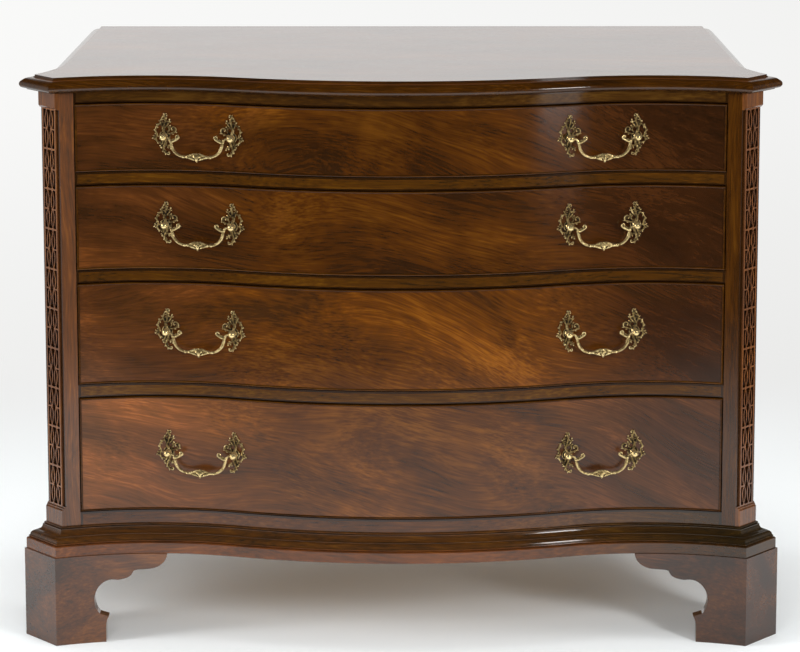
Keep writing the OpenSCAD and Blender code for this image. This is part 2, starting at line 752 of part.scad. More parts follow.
// Back plate, with x away from the bail: a spear over a disc, scrolls at both sides and a curling tail
curl_n = 3;
function along(c, k, u) = let(a = c[max(k - 1, 0)], b = c[k], d = c[k + 1], e = c[min(k + 2, len(c) - 1)])
    (2 * b + (d - a) * u + (2 * a - 5 * b + 4 * d - e) * u * u + (3 * b - a - 3 * d + e) * u * u * u) / 2;
function curl(c) = concat([for (k = [0:len(c) - 2]) for (j = [0:curl_n - 1]) along(c, k, j / curl_n)],
    [c[len(c) - 1]]);
function across(p, i) = let(d = p[min(i + 1, len(p) - 1)] - p[max(i - 1, 0)]) [d[1], -d[0]] / norm(d);
module stroke(c, w0, w1) {
    p = curl(c);
    m = len(p) - 1;
    half = [for (i = [0:m]) across(p, i) * (w0 + (w1 - w0) * i / m) / 2];
    polygon(concat([for (i = [0:m]) p[i] + half[i]], [for (i = [m:-1:0]) p[i] - half[i]]));
}
plate_strokes = [
    [[[0, 4], [2.2, 11], [0.6, 18], [-1.4, 25], [0.6, 30.5], [-1.2, 34]], 4.8, 2.6],
    [[[1.4, 12], [5, 18], [5.4, 24], [2.6, 29]], 3.4, 2],
    [[[1.2, 12.5], [-3.5, 16.5], [-6.2, 21], [-7.4, 25]], 3.4, 2.2],
    [[[0.8, 17.5], [7, 18.6], [12, 14.6], [13.8, 8.4], [11.8, 2], [13.4, -4], [10, -8.8], [3, -9]], 3.2, 3],
    [[[12, 0.6], [15.2, -1], [18, -3.2]], 2.8, 1.6],
    [[[-3.5, 3.5], [-10, 4.4], [-15.6, 6.8], [-16, 11], [-12.6, 13.4], [-9.6, 11.4]], 3.2, 2.2],
    [[[-4, 5], [-6.6, 9.6], [-5.6, 13.6]], 3, 1.8],
    [[[2, -5], [4.4, -11], [5.4, -16.6]], 3.8, 2.4],
    [[[-2, -5], [-1, -11], [1.8, -17], [1.8, -22], [-1.6, -26], [-6.2, -27.6]], 4.2, 2],
    [[[-0.6, -12.4], [-4.8, -15], [-8.6, -18.4]], 3.2, 1.8]];
plate_dots = [[14.6, 9, 1.7], [18, -3.2, 1.3], [-8.8, 11.6, 1.8], [-5.6, 13.6, 1.4], [-7.4, 25, 1.5],
    [5.4, -17, 1.9], [-6.4, -27.5, 1.5], [-8.8, -18.6, 1.6], [-0.6, 33, 1.8]];
plate_disc = 7.2;
module plate_2d() {
    scale(plate_h / 63) difference() {
        union() {
            circle(r = plate_disc, $fn = small);
            for (s = plate_strokes) stroke(s[0], s[1], s[2]);
            for (d = plate_dots) translate([d[0], d[1]]) circle(r = d[2], $fn = 16);
        }
        circle(r = shank_r + 1, $fn = small);
    }
}
plate_seat = 0.45;
module handle_plates(i) color(brass) placed() both() for (s = [-1, 1]) {
    x = handle_x + s * handle_half;
    translate([x, front_y(x), handle_z(i)]) rotate([0, 0, front_a(x)]) translate([0, -plate_seat, 0])
        rotate([90, 0, 0]) linear_extrude(plate_t) scale([s, 1]) plate_2d();
}
module handle_post() {
    nut_y = front_t + 0.8;
    difference() {
        union() {
            translate([0, -bail_off, 0]) rotate([90, 45, 0]) sphere(r = ball_r, $fn = small);
            rotate([90, 0, 0]) cylinder(r = shank_r, h = bail_off, $fn = small);
            translate([0, nut_y + 8, 0]) rotate([90, 0, 0]) cylinder(r = shank_r, h = nut_y + 8 + eps, $fn = small);
            translate([0, -plate_seat - plate_t - 0.9, 0]) rotate([90, 0, 0])
                cylinder(r1 = 5.4, r2 = 3.4, h = 3, $fn = small);
            translate([0, nut_y + 5, 0]) rotate([90, 0, 0]) cylinder(r = nut_r, h = 5, $fn = 6);
        }
        children();
    }
}
module pin_bore(s) {
    translate([-s * (ball_r + 1), -bail_off, 0]) rotate([0, s * 90, 0])
        cylinder(r = pin_r + pin_clear, h = ball_r + 2, $fn = small);
}
module handle_posts(i) color(brass) placed() handle_places(i)
    for (s = [-1, 1]) translate([s * post_half, 0, 0]) handle_post() pin_bore(s);

bend_top = 5;
bend_low = 14;
module bend(r, tube_r, a0) {
    rotate([90, 0, 0]) rotate_extrude(start = a0, angle = 90, $fn = 2 * small)
        translate([r, 0]) circle(r = tube_r, $fn = small);
}
module bail_arm() {
    arm_end = post_half - ball_r - 0.5;
    arm_x = arm_end - bend_top - 2;
    low_x = arm_x - bend_low;
    translate([arm_end, 0, 0]) rotate([0, -90, 0]) cylinder(r = bail_r, h = arm_end - arm_x - bend_top, $fn = small);
    translate([arm_end - eps, 0, 0]) rotate([0, 90, 0]) cylinder(r = pin_r, h = ball_r, $fn = small);
    translate([arm_x + bend_top, 0, -bend_top]) bend(bend_top, bail_r, 90);
    translate([arm_x, 0, bend_low - bail_drop]) cylinder(r = bail_r, h = bail_drop - bend_low - bend_top, $fn = small);
    translate([low_x, 0, bend_low - bail_drop]) bend(bend_low, bail_r, 270);
    translate([-eps, 0, -bail_drop]) rotate([0, 90, 0]) cylinder(r = bail_r, h = low_x + eps, $fn = small);
    translate([arm_x + 3, 0, 0]) rotate([0, -82, 0]) cylinder(r1 = 3, r2 = 1.3, h = 15, $fn = small);
}
module grip() {
    translate([-grip_half, 0, -bail_drop]) rotate([0, 90, 0]) rotate_extrude($fn = small)
        polygon([[0, 0], for (k = [0:12]) [bail_r + (grip_r - bail_r) * pow(sin(15 * k), 2),
            2 * grip_half * k / 12], [0, 2 * grip_half]]);
}
module bail_right(i) color(brass) placed() right_handle(i) translate([0, -bail_off, 0]) {
    both() bail_arm();
    grip();
}
module bail_left(i) mirror([1, 0, 0]) bail_right(i);

top_board();
mirror([1, 0, 0]) side();  // side_left
side();  // side_right
back_boards();
bottom_board();
rail(0);  // top_rail
rail(1);  // divider_upper
rail(2);  // divider_middle
rail(3);  // divider_lower
bottom_rail();
mirror([1, 0, 0]) post();  // post_left
post();  // post_right
mirror([1, 0, 0]) fret();  // fret_left
fret();  // fret_right
post_blocks();
base_moulding();
mirror([1, 0, 0]) foot_front();  // foot_front_left
foot_front();  // foot_front_right
feet_rear();
foot_blocks();
drawer_runners();
dust_boards();
drawer_stops();
for (i = [1:4]) {
    drawer_front(i);
    drawer_sides(i);
    drawer_back(i);
    drawer_bottom(i);
    cock_bead(i);
    handle_plates(i);
    handle_posts(i);
    bail_left(i);
    bail_right(i);
}
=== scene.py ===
"""Looks of a serpentine chest of drawers: polished mahogany, old brass handles and the studio round them."""
import math
from functools import partial

import bmesh
import bpy
import numpy as np
from bpy.props import FloatProperty, FloatVectorProperty, PointerProperty
from mathutils import Matrix, Vector


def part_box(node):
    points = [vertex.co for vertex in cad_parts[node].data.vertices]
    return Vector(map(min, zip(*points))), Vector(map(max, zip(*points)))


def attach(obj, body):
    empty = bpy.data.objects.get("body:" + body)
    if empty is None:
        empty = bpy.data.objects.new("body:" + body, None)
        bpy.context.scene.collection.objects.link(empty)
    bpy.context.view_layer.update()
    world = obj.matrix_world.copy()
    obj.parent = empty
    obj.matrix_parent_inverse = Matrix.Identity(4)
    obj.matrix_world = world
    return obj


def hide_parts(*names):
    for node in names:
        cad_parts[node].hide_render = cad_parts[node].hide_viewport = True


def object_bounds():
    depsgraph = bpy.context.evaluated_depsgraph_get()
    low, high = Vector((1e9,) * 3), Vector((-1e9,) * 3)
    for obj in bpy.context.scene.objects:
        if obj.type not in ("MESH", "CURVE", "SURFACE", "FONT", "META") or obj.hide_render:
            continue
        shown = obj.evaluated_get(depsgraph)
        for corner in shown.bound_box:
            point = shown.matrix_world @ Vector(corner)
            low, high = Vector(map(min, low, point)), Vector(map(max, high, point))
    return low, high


bl_info = {
    "name": "Serpentine Chest",
    "version": (1, 0, 0),
    "blender": (4, 5, 0),
    "location": "View3D > Sidebar > Chest",
    "description": "Finishes, brass handles and studio of a serpentine chest of drawers",
    "category": "Object",
}

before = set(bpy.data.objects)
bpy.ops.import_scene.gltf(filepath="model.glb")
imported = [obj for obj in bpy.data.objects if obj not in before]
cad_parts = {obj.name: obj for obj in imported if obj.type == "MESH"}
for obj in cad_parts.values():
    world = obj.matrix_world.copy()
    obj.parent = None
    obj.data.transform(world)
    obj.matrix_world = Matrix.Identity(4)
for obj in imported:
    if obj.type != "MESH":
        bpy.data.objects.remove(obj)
cad_low, cad_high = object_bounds()

DRAWERS = (1, 2, 3, 4)
SIDES = (("left", -1), ("right", 1))
# Turns a piece of the right half of the chest into its twin on the left
MIRROR = Matrix.Diagonal((-1, 1, 1, 1))
# Metres in a millimetre
MM = 0.001

# Sizes in millimetres, as the solids have them
# The curve of the front: a bow, a hollow on each side, and how far the bow stands before the chest's middle
BOW_R = 765
HOLLOW_R = 412
HOLLOW_X = 373
MIDDLE = 285.5
SWAY = math.asin(HOLLOW_X / (BOW_R + HOLLOW_R))
HOLLOW_Y = BOW_R - (BOW_R + HOLLOW_R) * math.cos(SWAY)
# Handles: their middles, half the distance between their posts, and their heights over the floor
HANDLE_X = 302
HANDLE_HALF = 50.5
HANDLE_Z = (776.35, 642.15, 478.45, 290.25)
# How far bails and back plates stand off the front, how low grips hang, and the radius of the balls
BAIL_OFF = 13
PLATE_SEAT = 0.45
GRIP_Z = -28.6
BALL_R = 5.6

# Sizes in metres
# Half the width of the drawer openings, and how far the painted shade along the gaps reaches from their edges
OPENING_X = 0.4875
GAP_SHADE = 0.004
# Height of the top of the plain band under the base moulding
FASCIA_TOP = 0.1565
# How far the edge of the top stands out over the point from which the camera's distance is measured
NOSE = 0.025

# The lamps on both sides and what they look at, in metres
RIGHT_PLACE = (2.34, -3.06, 1.4)
LEFT_PLACE = (-2.8, -1.2, 1.3)
LAMP_TARGET = (0, 0, 0.5)
# Name, place, size and power of the lamps that the polish doesn't reflect
FILLS = (("fill_right", RIGHT_PLACE, (0.7, 1.0), 58),
         ("fill_left", LEFT_PLACE, (0.9, 1.6), 26),
         ("fill_front", (-0.3, -3.4, 2.2), (1.8, 1.2), 42),
         ("fill_over", (-0.2, 0.3, 3.2), (2.4, 2.0), 60),
         ("fill_side", (2.8, -0.9, 1.2), (0.9, 1.6), 14))
# How bright the world looks to the camera
SEEN_WHITE = 0.92


class WoodSettings(bpy.types.PropertyGroup):
    """Colours of the polished mahogany and of the plain woods inside"""

    dark: FloatVectorProperty(
        name="Dark Mahogany", description="Colour in the dark streaks of the polished wood",
        subtype="COLOR", size=3, min=0, max=1, default=(0.034, 0.0115, 0.002))
    middle: FloatVectorProperty(
        name="Mahogany", description="Main colour of the polished wood",
        subtype="COLOR", size=3, min=0, max=1, default=(0.09, 0.0255, 0.0016))
    light: FloatVectorProperty(
        name="Light Mahogany", description="Colour in the bright figure of the polished wood",
        subtype="COLOR", size=3, min=0, max=1, default=(0.19, 0.062, 0.004))
    # Its purplish cast on the ends of the drawer fronts is partly a painted reflection
    plum: FloatVectorProperty(
        name="Plum Mahogany", description="Main colour towards the ends of the drawer fronts",
        subtype="COLOR", size=3, min=0, max=1, default=(0.062, 0.0185, 0.0032))
    oak: FloatVectorProperty(
        name="Oak", description="Colour of the drawer linings and runners",
        subtype="COLOR", size=3, min=0, max=1, default=(0.33, 0.2, 0.095))
    pine: FloatVectorProperty(
        name="Pine", description="Colour of the back, bottoms and blocks",
        subtype="COLOR", size=3, min=0, max=1, default=(0.42, 0.25, 0.11))
    gloss: FloatProperty(
        name="Polish Roughness", description="Roughness of the polish",
        subtype="FACTOR", min=0, max=1, default=0.12)


class BrassSettings(bpy.types.PropertyGroup):
    """Colours of the old brass"""

    bright: FloatVectorProperty(
        name="Rubbed Brass", description="Colour of the brass where hands have rubbed it",
        subtype="COLOR", size=3, min=0, max=1, default=(0.92, 0.71, 0.34))
    worn: FloatVectorProperty(
        name="Dull Brass", description="Colour of the brass between bright and tarnished",
        subtype="COLOR", size=3, min=0, max=1, default=(0.28, 0.185, 0.068))
    tarnish: FloatVectorProperty(
        name="Tarnish", description="Colour in the recesses of the brass",
        subtype="COLOR", size=3, min=0, max=1, default=(0.014, 0.009, 0.005))


class StageSettings(bpy.types.PropertyGroup):
    """Camera, floor and even light"""

    distance: FloatProperty(
        name="Camera Distance", description="From the camera to the middle of the front, along the floor",
        subtype="DISTANCE", unit="LENGTH", min=2, max=12, default=5.846)
    height: FloatProperty(
        name="Camera Height", description="Height of the camera over the floor",
        subtype="DISTANCE", unit="LENGTH", min=0.3, max=3, default=1.751)
    pitch: FloatProperty(
        name="Camera Pitch", description="How far the camera looks down",
        subtype="ANGLE", unit="ROTATION", min=0, max=1, default=math.radians(11.75))
    yaw: FloatProperty(
        name="Camera Yaw", description="How far the camera stands round to the right",
        subtype="ANGLE", unit="ROTATION", min=-0.5, max=0.5, default=math.radians(0.2))
    roll: FloatProperty(
        name="Camera Roll", description="How far the camera leans to the left",
        subtype="ANGLE", unit="ROTATION", min=-0.5, max=0.5, default=math.radians(-0.045))
    lens: FloatProperty(
        name="Lens", description="Focal length of the camera",
        subtype="DISTANCE_CAMERA", unit="CAMERA", min=35, max=300, default=180)
    shift: FloatVectorProperty(
        name="Shift", description="Sideways and upward shift of the camera, as shares of its width",
        size=2, min=-0.2, max=0.2, default=(-0.0008, -0.03))
    floor: FloatVectorProperty(
        name="Floor", description="Colour of the floor under the chest",
        subtype="COLOR", size=3, min=0, max=1, default=(0.91, 0.94, 0.95))
    backdrop: FloatVectorProperty(
        name="Backdrop", description="Tint of the white backdrop",
        subtype="COLOR", size=3, min=0, max=1, default=(1, 1, 0.99))
    lift: FloatProperty(
        name="Shadow Lift", description="Light of the floor under the chest besides that of the lamps",
        subtype="FACTOR", min=0, max=1, default=0.012)
    ambient: FloatProperty(
        name="Ambient Light", description="Strength of the even light from all sides",
        min=0, max=2, default=0.4)


class Nodes:
    """Shader nodes that are added to a tree and joined in short calls"""

    def __init__(self, tree):
        self.tree = tree
        tree.nodes.clear()

    def new(self, kind):
        return self.tree.nodes.new("ShaderNode" + kind)

    def join(self, value, socket):
        """Links a socket, or sets it to a number, a vector or a colour, and leaves it at None"""
        if isinstance(value, bpy.types.NodeSocket):
            self.tree.links.new(value, socket)
        elif value is not None:
            if socket.type == "RGBA" and len(value) == 3:
                value = (*value, 1)
            socket.default_value = value

    def add(self, kind, *values, out=0, **settings):
        """Adds a node, fills its sockets in their order, and gives one of its outputs"""
        node = self.new(kind)
        for key, value in settings.items():
            setattr(node, key, value)
        for socket, value in zip(node.inputs, values):
            self.join(value, socket)
        return node.outputs[out]

    def math(self, operation, *values, clamp=False):
        return self.add("Math", *values, operation=operation, use_clamp=clamp)

    def vector(self, operation, *values):
        return self.add("VectorMath", *values, operation=operation)

    def axes(self, vector):
        """The three parts of a vector"""
        return self.add("SeparateXYZ", vector).node.outputs

    def place(self, turn=(0, 0, 0)):
        """Object coordinates, turned so that the grain runs along the first of them"""
        return self.add("Mapping", self.new("TexCoord").outputs["Object"], None, turn)

    def normal(self):
        return self.new("NewGeometry").outputs["Normal"]

    def noise(self, place, stretch, detail=2.0, rough=0.5, distortion=0.0, shift=(0, 0, 0), out=0):
        """Noise with so many waves in a metre along each axis"""
        noise = self.new("TexNoise")
        for name, value in (("Vector", self.add("Mapping", place, shift, None, stretch)), ("Scale", 1.0),
                            ("Detail", detail), ("Roughness", rough), ("Distortion", distortion)):
            self.join(value, noise.inputs[name])
        return noise.outputs[out]

    def ramp(self, value, positions, colours):
        node = self.new("ValToRGB")
        self.join(value, node.inputs[0])
        elements = node.color_ramp.elements
        while len(elements) < len(positions):
            elements.new(0.5)
        for element, position, colour in zip(elements, positions, colours):
            element.position = position
            element.color = (*colour, 1)
        return node.outputs[0]

    def mask(self, value, low, high):
        """0 below low, 1 above high, and smooth between, or the other way round where low is above high"""
        node = self.new("MapRange")
        node.interpolation_type = "SMOOTHSTEP"
        for name, number in (("Value", value), ("From Min", low), ("From Max", high)):
            self.join(number, node.inputs[name])
        return node.outputs[0]

    def mix(self, factor, first, second, blend="MIX"):
        node = self.new("Mix")
        node.data_type = "RGBA"
        node.blend_type = blend
        for value, socket in ((factor, node.inputs[0]), (first, node.inputs[6]), (second, node.inputs[7])):
            self.join(value, socket)
        return node.outputs[2]

    def tint(self, colour, shares):
        """A colour with its red, green and blue multiplied by shares"""
        return self.mix(1.0, colour, shares, "MULTIPLY")

    def darken(self, colour, where, depth, share):
        """Takes a colour some way towards a share of the dark mahogany, where a mask says so"""
        dark = tuple(c * share for c in bpy.context.scene.chest_wood.dark)
        return self.mix(self.math("MULTIPLY", where, depth), colour, dark)

    def shelter(self, distance):
        """1 in the open, and less in recesses narrower than a distance and where pieces meet"""
        node = self.new("AmbientOcclusion")
        node.samples = 8
        node.inputs["Distance"].default_value = distance
        return node.outputs["AO"]

    def bump(self, height, distance, strength):
        node = self.new("Bump")
        for name, value in (("Strength", strength), ("Distance", distance), ("Height", height)):
            self.join(value, node.inputs[name])
        return node.outputs[0]


class Shader(Nodes):
    """The nodes of a new material"""

    SOCKETS = {"colour": "Base Color", "rough": "Roughness", "metal": "Metallic", "coat": "Coat Weight",
               "coat_rough": "Coat Roughness", "specular": "Specular IOR Level", "normal": "Normal",
               "coat_normal": "Coat Normal", "glow": "Emission Color", "glow_strength": "Emission Strength"}

    def __init__(self, name):
        self.material = bpy.data.materials.new(name)
        self.material.use_nodes = True
        super().__init__(self.material.node_tree)
        self.surface = self.new("BsdfPrincipled")
        self.output = self.new("OutputMaterial").inputs["Surface"]
        self.join(self.surface.outputs[0], self.output)

    def set(self, **values):
        """Joins values to the surface, and gives the material"""
        for key, value in values.items():
            self.join(value, self.surface.inputs[self.SOCKETS[key]])
        return self.material


# Turns that bring the grain of a piece along the first axis
GRAIN = {"across": (0, 0, 0), "upright": (0, math.pi / 2, 0), "deep": (0, 0, math.pi / 2)}
# Where the dark, middle and light mahogany lie in the range of the figure
FIGURE_STOPS = (0.1, 0.5, 0.92)
# Tones of the left, middle and right of each drawer front, lighter at the left end and darker at the right as
# painted light and shade
TONES = ((0.8, 0.58, 0.38), (0.88, 0.6, 0.44), (1.2, 0.84, 0.48), (2.2, 0.92, 0.78))
# How much duller than the rest the polish of each drawer front is
COAT_BLUR = (0.02, 0.02, 0.02, 0.15)
# Tone of the sides, and of the flare that joins them to the posts
SIDE_TONE = 1.05


class Figure:
    """The streaks, clouds and pores of mahogany, laid over coordinates that drift as the grain does

    The seed picks the figure, liveliness is how strongly clouds and curls show, and flow is how far streaks
    wander.
    """

    def __init__(self, s, place, seed, liveliness, flow):
        shift = (seed * 3.1, seed * 1.7, seed * 2.3)
        drift = s.noise(place, (2.3, 2.8, 3.4), 1.5, shift=shift, out=1)
        drift = s.vector("SUBTRACT", drift, (0.5, 0.5, 0.5))
        self.place = place
        self.flow = s.vector("ADD", place, s.vector("MULTIPLY", drift, (0.3 * flow, 4 * flow, 4 * flow)))
        broad = s.noise(self.flow, (3.0, 90, 95), 3.5, 0.6, 0.2, shift)
        band = s.noise(self.flow, (1.5, 11, 13), 2, 0.5, 0.2, (shift[2], 3.3, shift[0]))
        curl = s.noise(self.flow, (30, 44, 50), 2, 0.5, 1.0, (5.1, seed, seed))
        self.fine = s.noise(self.flow, (16, 330, 350), 2, 0.6, 0, shift)
        self.cloud = s.noise(self.flow, (7, 9, 10), 3, 0.6, 0.6, (seed, 7.7, seed))
        self.pores = s.mask(s.noise(self.flow, (38, 900, 950), 1, 0.5, 0, shift), 0.62, 0.72)
        self.light = 0.46
        for noise, share in ((broad, 0.62), (band, 0.7), (self.fine, 1.0), (self.cloud, 1.4 * liveliness),
                             (curl, 0.15 * liveliness)):
            self.light = s.math("MULTIPLY_ADD", s.math("SUBTRACT", noise, 0.5), share, self.light)


def shades(tone, grey=0.0):
    """The dark, middle and light mahogany, multiplied by a tone and with some grey added"""
    wood = bpy.context.scene.chest_wood
    return [tuple(c * share + grey for c, share in zip(shade, tone))
            for shade in (wood.dark, wood.middle, wood.light)]


def facing_up(s):
    """1 on the flat of the top, and 0 on its moulded edge"""
    return s.mask(s.axes(s.normal())[2], 0.96, 0.99)


def shaded_edge_of_top(s, colour, shares):
    """Darkens the moulded edge of the top, by which way its faces turn, as painted shade"""
    return s.mix(facing_up(s), s.tint(colour, shares), colour)


def moulding_of_base(s, colour, shares):
    """Tints the mouldings of the base above its plain band"""
    height = s.axes(s.place())[2]
    band = s.mask(height, FASCIA_TOP + 0.001, FASCIA_TOP - 0.001)
    return s.mix(band, s.tint(colour, shares), colour)


def right_end_shade(s, colour, shares):
    """Darkens the wood more and more towards the right end of the chest, as painted shade"""
    right = s.mask(s.axes(s.place())[0], 0.05, 0.55)
    return s.mix(right, colour, s.tint(colour, shares))


def gap_shade(s, colour):
    """Paints shade on the rails along the gaps round the drawers, where their shadow falls"""
    across, _, height = s.axes(s.place())
    gap_shadow = s.math("COMPARE", s.math("ABSOLUTE", across), OPENING_X, GAP_SHADE)
    for i in DRAWERS:
        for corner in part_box(f"drawer_front_{i}"):
            gap_shadow = s.math("MAXIMUM", gap_shadow, s.math("COMPARE", height, corner[2], GAP_SHADE))
    return s.darken(colour, gap_shadow, 0.8, 0.3)


def ground_of_fret(s, colour, tone):
    """Paints shade on the canted face behind a fret, and gives the flare behind it the tone of the sides"""
    across, deep, _ = s.axes(s.normal())
    canted = s.math("MULTIPLY", s.mask(s.math("ABSOLUTE", across), 0.5, 0.6), s.mask(deep, 0, -0.2))
    colour = s.mix(s.mask(deep, 0.2, 0.3), colour, s.tint(colour, tuple(SIDE_TONE / share for share in tone)))
    # Painted shade on the canted ground behind the fret
    return s.darken(colour, canted, 0.8, 0.4)


def recesses(s, colour):
    """Paints shade into recesses a few millimetres wide"""
    exposed = s.math("MULTIPLY_ADD", s.mask(s.shelter(0.009), 0.25, 0.9), 0.9, 0.1)
    return s.tint(colour, s.add("CombineXYZ", exposed, exposed, exposed))


def polish(s, figure, colour, coat=1.0, blur=0.0, specular=0.0, layers=()):
    """Darkens the pores, lays each layer over the colour, and polishes the slightly wavy wood"""
    gloss = bpy.context.scene.chest_wood.gloss
    colour = s.darken(colour, figure.pores, 0.25, 0.35)
    for layer in layers:
        colour = layer(s, colour)
    wave = s.noise(figure.place, (9, 9, 9), 1)
    normal = s.bump(s.math("MULTIPLY_ADD", figure.pores, -0.03, wave), 0.0012, 0.3)
    rough = s.math("MULTIPLY_ADD", figure.fine, 0.12, gloss + 0.2)
    return s.set(colour=colour, rough=rough, specular=specular, coat=coat, coat_rough=gloss + blur,
                 normal=normal, coat_normal=normal)


def mahogany(name, grain, seed, liveliness, flow, tone=(1, 1, 1), grey=0.0, coat=1.0, flat_gloss=0.0,
             layers=()):
    """French polished mahogany: streaks that flow, clouded figure, dark pores under the polish

    Tone multiplies red, green and blue, grey is added to them, coat is the weight of the polish, flat_gloss
    is the specular level of faces that look up, and layers are functions that change the colour in turn.
    """
    s = Shader(name)
    figure = Figure(s, s.place(GRAIN[grain]), seed, liveliness, flow)
    colour = s.ramp(figure.light, FIGURE_STOPS, shades(tone, grey))
    specular = s.math("MULTIPLY", facing_up(s), flat_gloss) if flat_gloss else 0.0
    return polish(s, figure, colour, coat, 0.0, specular, layers)


def veneer(name, seed, tones, blur):
    """The veneer of a drawer front, golden in the middle and plum at its ends, the plum partly a painted
    reflection

    Its streaks lie level on the left and fall towards the right end. The tones are those of its left, middle
    and right, lighter on the left and darker on the right as painted light and shade, and blur is how much
    duller than the rest its polish is.
    """
    plum = bpy.context.scene.chest_wood.plum
    s = Shader(name)
    across, deep, height = s.axes(s.place(GRAIN["across"]))
    fall = s.math("SMOOTH_MAX", s.math("ADD", across, 0.1), 0, 0.25)
    height = s.math("MULTIPLY_ADD", fall, 0.36, height)
    figure = Figure(s, s.add("CombineXYZ", across, s.math("MULTIPLY", deep, 0.1), height), seed, 0.9, 0.05)
    most = max(tones)
    golden = shades((most, most, most))
    plum_shades = (golden[0], tuple(c * most for c in plum), tuple(c * most * 2.1 for c in plum))
    # Plum towards the ends: partly the wood's colour, partly a painted reflection of their purplish cast
    end = s.math("ADD", s.math("ABSOLUTE", across), s.math("MULTIPLY_ADD", figure.cloud, 0.4, -0.2))
    colour = s.mix(s.mask(end, 0.18, 0.36), s.ramp(figure.light, FIGURE_STOPS, golden),
                   s.ramp(figure.light, FIGURE_STOPS, plum_shades))
    along = s.math("MULTIPLY_ADD", across, 1.1, 0.5)
    along = s.math("ADD", along, s.math("MULTIPLY_ADD", figure.cloud, 0.3, -0.15))
    # Painted light and shade: lighter towards the left end of the front and darker towards the right
    left, middle, right = ((tone / most,) * 3 for tone in tones)
    colour = s.tint(colour, s.ramp(along, (0.06, 0.3, 0.73, 0.95), (left, middle, middle, right)))
    sweep = s.noise(figure.flow, (2.6, 7, 8), 2, 0.5, 0.8, (9.1, seed, 4.3))
    colour = s.tint(colour, s.ramp(sweep, (0.34, 0.66), ((0.74,) * 3, (1.34,) * 3)))
    return polish(s, figure, colour, blur=blur)


def plain_wood(name, colour, grain, seed):
    """Bare oak or pine, planed and darkened with age"""
    s = Shader(name)
    place = s.place(GRAIN[grain])
    shift = (seed, seed * 2, seed * 3)
    broad = s.noise(place, (1.3, 30, 34), 3, 0.55, 0.6, shift)
    fine = s.noise(place, (6, 300, 320), 2, 0.6, 0, shift)
    age = s.noise(place, (3, 4, 4), 2, 0.5, 0.5, shift)
    light = s.math("MULTIPLY_ADD", s.math("SUBTRACT", fine, 0.5), 0.5, broad)
    light = s.math("MULTIPLY_ADD", s.math("SUBTRACT", age, 0.5), 0.6, light, clamp=True)
    dark = tuple(c * 0.42 for c in colour)
    bright = tuple(min(1, c * 1.35) for c in colour)
    aged = s.ramp(light, (0.15, 0.55, 0.9), (dark, colour, bright))
    return s.set(colour=aged, rough=0.62, specular=0.3, normal=s.bump(fine, 0.0004, 0.5))


def old_brass(name, shine):
    """Cast brass gone brown: dark in the recesses, chased all over, rubbed bright on the high places, with
    painted shade where other pieces come close
    """
    brass = bpy.context.scene.chest_brass
    s = Shader(name)
    place = s.place()
    ridge = s.mask(s.new("NewGeometry").outputs["Pointiness"], 0.45, 0.58)
    cloud = s.noise(place, (130, 130, 130), 3, 0.6)
    chasing = s.noise(place, (420, 420, 420), 2, 0.6, 0.4)
    wear_and_shade = s.math("MULTIPLY_ADD", s.math("SUBTRACT", cloud, 0.5), 0.7, s.math("ADD", ridge, shine - 0.5))
    wear_and_shade = s.math("MULTIPLY_ADD", s.math("SUBTRACT", chasing, 0.5), 1.3, wear_and_shade)
    # Tarnish in the hollows, and painted shade where the front, the balls and the bails come close
    wear_and_shade = s.math("MULTIPLY", wear_and_shade, s.mask(s.shelter(0.004), 0.35, 0.95), clamp=True)
    colour = s.ramp(wear_and_shade, (0.1, 0.5, 0.9), (brass.tarnish, brass.worn, brass.bright))
    rough = s.math("MULTIPLY_ADD", wear_and_shade, -0.24, 0.48)
    return s.set(colour=colour, metal=0.88, rough=rough, normal=s.bump(chasing, 0.0005, 0.7))


def smooth(mesh, limit=math.radians(32)):
    """Shades curved faces as one: corners get the mean normal of faces there that turn less than a limit"""
    count = len(mesh.vertices)
    places = np.empty(count * 3)
    mesh.vertices.foreach_get("co", places)
    loops = np.empty(len(mesh.loops), np.int64)
    mesh.loops.foreach_get("vertex_index", loops)
    face = np.empty(len(mesh.loops), np.int64)
    for polygon in mesh.polygons:
        face[polygon.loop_start:polygon.loop_start + polygon.loop_total] = polygon.index
    normals = np.array([polygon.normal for polygon in mesh.polygons])
    areas = np.array([polygon.area for polygon in mesh.polygons])
    spots = np.round(places.reshape(-1, 3) * 1e5).astype(np.int64)
    group = np.unique(spots, axis=0, return_inverse=True)[1].reshape(-1)[loops]
    order = np.argsort(group, kind="stable")
    cuts = np.flatnonzero(np.diff(group[order])) + 1
    result = normals[face]
    for corners in np.split(order, cuts):
        around = normals[face[corners]]
        close = (around @ around.T > math.cos(limit)) * areas[face[corners]]
        result[corners] = close @ around
    result /= np.maximum(np.linalg.norm(result, axis=1)[:, None], 1e-12)
    mesh.shade_smooth()
    mesh.normals_split_custom_set(result.tolist())


def finish(node, material):
    """Gives a carried over solid its material and smooth curves"""
    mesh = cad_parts[node].data
    smooth(mesh)
    mesh.materials.clear()
    mesh.materials.append(material)


